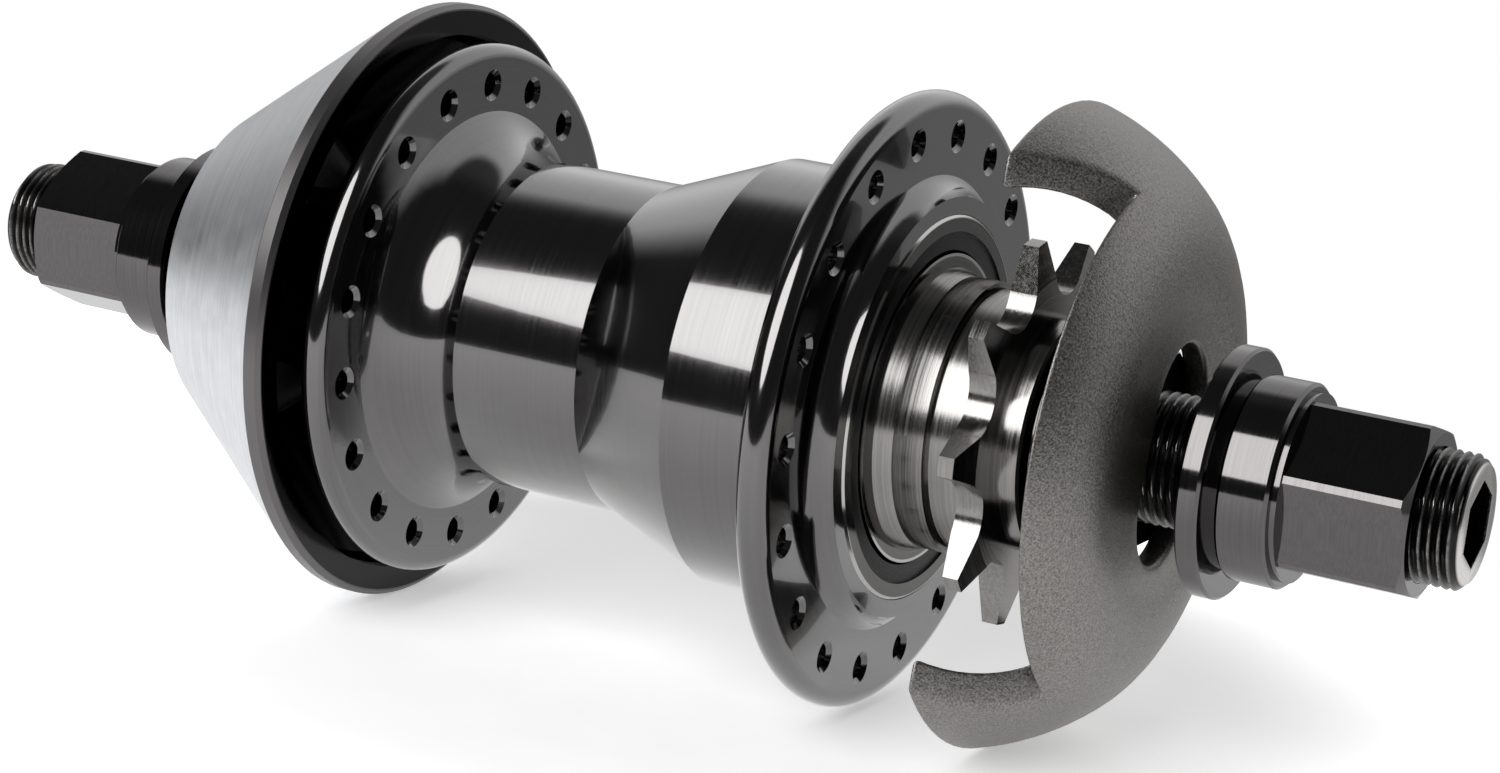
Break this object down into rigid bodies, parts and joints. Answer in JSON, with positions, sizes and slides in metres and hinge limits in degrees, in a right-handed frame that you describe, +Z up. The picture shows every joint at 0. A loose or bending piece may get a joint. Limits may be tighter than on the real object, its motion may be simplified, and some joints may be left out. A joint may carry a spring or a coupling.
{
  "type": "bmx rear hub",
  "caption": "Flanged bicycle rear hub with a toothed driver, a sliding cone clutch inside, a cone guard, a slotted dome guard and axle nuts.",
  "frame": {"origin": "middle of the axle, on its axis", "axes": "+X along the axle towards the sprocket side, +Z up as the hub lies on a table, with the slot of the sprocket-side guard leaning 9 degrees from +Z towards +Y, and +Y completes the right-handed set"},
  "size_m": [0.18, 0.0686, 0.0695],
  "materials": {
    "shell_black_anodised": "gloss black anodised aluminium",
    "guard_turned_aluminium": "turned aluminium cone with fine turning marks",
    "guard_blasted_steel": "bead-blasted cast steel",
    "axle_black_steel": "blackened chromium-molybdenum steel",
    "nut_black_chrome": "polished black chrome plate on steel",
    "driver_dark_steel": "turned and darkened chromium-molybdenum steel",
    "bearing_steel": "ground and polished bearing steel",
    "bearing_seal_rubber": "black nitrile rubber seal",
    "bearing_cage_brass": "pressed cage",
    "clutch_steel": "hardened and ground steel",
    "spring_steel": "formed spring steel"
  },
  "bodies": {
    "axle_set": {"axle": "axle_black_steel", "ds_axle_nut": "nut_black_chrome", "nds_axle_nut": "nut_black_chrome", "ds_washer": "nut_black_chrome", "nds_washer": "nut_black_chrome", "ds_guard": "guard_blasted_steel", "nds_guard": "guard_turned_aluminium", "nds_cone": "nut_black_chrome", "nds_locknut": "nut_black_chrome", "ds_cone": "bearing_steel", "bearing_spacer": "clutch_steel", "nds_bearing_inner_race": "bearing_steel", "driver_inner_bearing_inner_race": "bearing_steel", "driver_outer_bearing_inner_race": "bearing_steel"},
    "shell": {"hub_shell": "shell_black_anodised", "clutch_ring": "clutch_steel", "nds_bearing_outer_race": "bearing_steel", "nds_bearing_seals": "bearing_seal_rubber", "ds_bearing_outer_race": "bearing_steel", "ds_bearing_seals": "bearing_seal_rubber"},
    "driver": {"driver": "driver_dark_steel", "ds_bearing_inner_race": "bearing_steel", "ds_bearing_balls": "bearing_steel", "ds_bearing_cage": "bearing_cage_brass", "driver_inner_bearing_outer_race": "bearing_steel", "driver_inner_bearing_seals": "bearing_seal_rubber", "driver_outer_bearing_outer_race": "bearing_steel", "driver_outer_bearing_seals": "bearing_seal_rubber"},
    "clutch": {"clutch_cone": "clutch_steel", "drag_clip": "spring_steel"},
    "nds_bearing_rollers": {"nds_bearing_balls": "bearing_steel", "nds_bearing_cage": "bearing_cage_brass"},
    "driver_inner_rollers": {"driver_inner_bearing_balls": "bearing_steel", "driver_inner_bearing_cage": "bearing_cage_brass"},
    "driver_outer_rollers": {"driver_outer_bearing_balls": "bearing_steel", "driver_outer_bearing_cage": "bearing_cage_brass"}
  },
  "joints": [
    {"name": "shell_spin", "type": "hinge", "parent": "axle_set", "child": "shell", "pos_m": [0, 0, 0], "axis": [1, 0, 0], "continuous": true},
    {"name": "driver_spin", "type": "hinge", "parent": "axle_set", "child": "driver", "pos_m": [0, 0, 0], "axis": [1, 0, 0], "continuous": true},
    {"name": "clutch_slide", "type": "slide", "parent": "axle_set", "child": "clutch", "axis": [-1, 0, 0], "range_m": [0, 0.0024]},
    {"name": "nds_rollers_spin", "type": "hinge", "parent": "axle_set", "child": "nds_bearing_rollers", "pos_m": [0, 0, 0], "axis": [1, 0, 0], "continuous": true},
    {"name": "driver_inner_rollers_spin", "type": "hinge", "parent": "axle_set", "child": "driver_inner_rollers", "pos_m": [0, 0, 0], "axis": [1, 0, 0], "continuous": true},
    {"name": "driver_outer_rollers_spin", "type": "hinge", "parent": "axle_set", "child": "driver_outer_rollers", "pos_m": [0, 0, 0], "axis": [1, 0, 0], "continuous": true}
  ],
  "couplings": [
    {"joint": "nds_rollers_spin", "follows": "shell_spin", "ratio": 0.5784},
    {"joint": "driver_inner_rollers_spin", "follows": "driver_spin", "ratio": 0.5481},
    {"joint": "driver_outer_rollers_spin", "follows": "driver_spin", "ratio": 0.5481}
  ]
}
